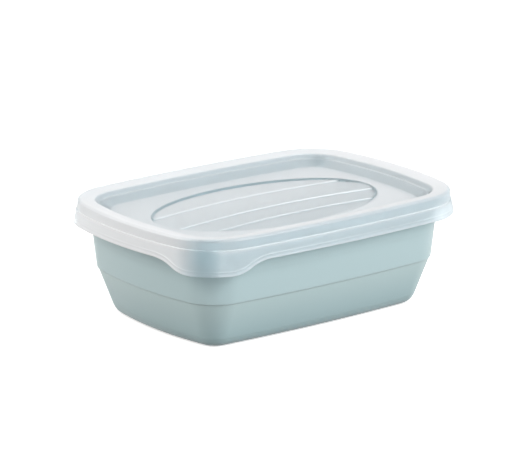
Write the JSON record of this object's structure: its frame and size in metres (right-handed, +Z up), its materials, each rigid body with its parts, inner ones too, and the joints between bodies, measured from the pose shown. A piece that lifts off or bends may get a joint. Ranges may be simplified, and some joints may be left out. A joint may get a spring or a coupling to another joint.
{
  "type": "food storage container",
  "caption": "Low rectangular plastic food box with stepped, tapering walls, shut with a translucent press-on lid that has a raised rim, a recessed panel with oval plank relief and a finger tab.",
  "frame": {"origin": "middle of the base, on the surface that the container stands on", "axes": "+Z up, X along the long sides, Y across; the finger tab is at the corner of -X and -Y"},
  "size_m": [0.19, 0.1364, 0.063],
  "materials": {
    "box": "satin pigmented polypropylene, pale grey-teal",
    "lid": "frosted translucent natural polypropylene"
  },
  "bodies": {
    "root": {"box": "box", "lid": "lid"}
  },
  "joints": []
}
